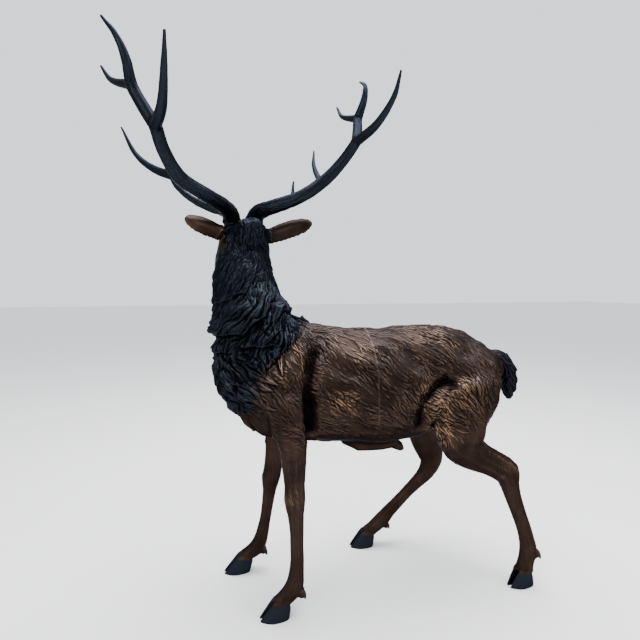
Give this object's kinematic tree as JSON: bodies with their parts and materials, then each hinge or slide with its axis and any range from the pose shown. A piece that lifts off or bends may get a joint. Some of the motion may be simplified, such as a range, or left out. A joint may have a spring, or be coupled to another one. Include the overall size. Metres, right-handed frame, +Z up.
{
  "type": "bronze deer sculpture",
  "caption": "Life-size standing red deer stag in patinated cast bronze, head turned to its right, with branched antlers, resting on its hooves",
  "frame": {"origin": "on the ground, under the middle of the whole figure's footprint", "axes": "+Z up; the stag faces -X; its left side is -Y; its head is turned towards +Y"},
  "size_m": [1.7766, 0.9981, 2.1894],
  "materials": {
    "brown_bronze": "cast bronze with a hand-chased coat, dark umber patina rubbed lighter on the high places, blue-black on the mane",
    "dark_bronze": "cast bronze with a blue-black patina, finely grooved along the antlers"
  },
  "bodies": {
    "root": {"stag": "brown_bronze", "antler_left": "dark_bronze", "antler_right": "dark_bronze"}
  },
  "joints": []
}
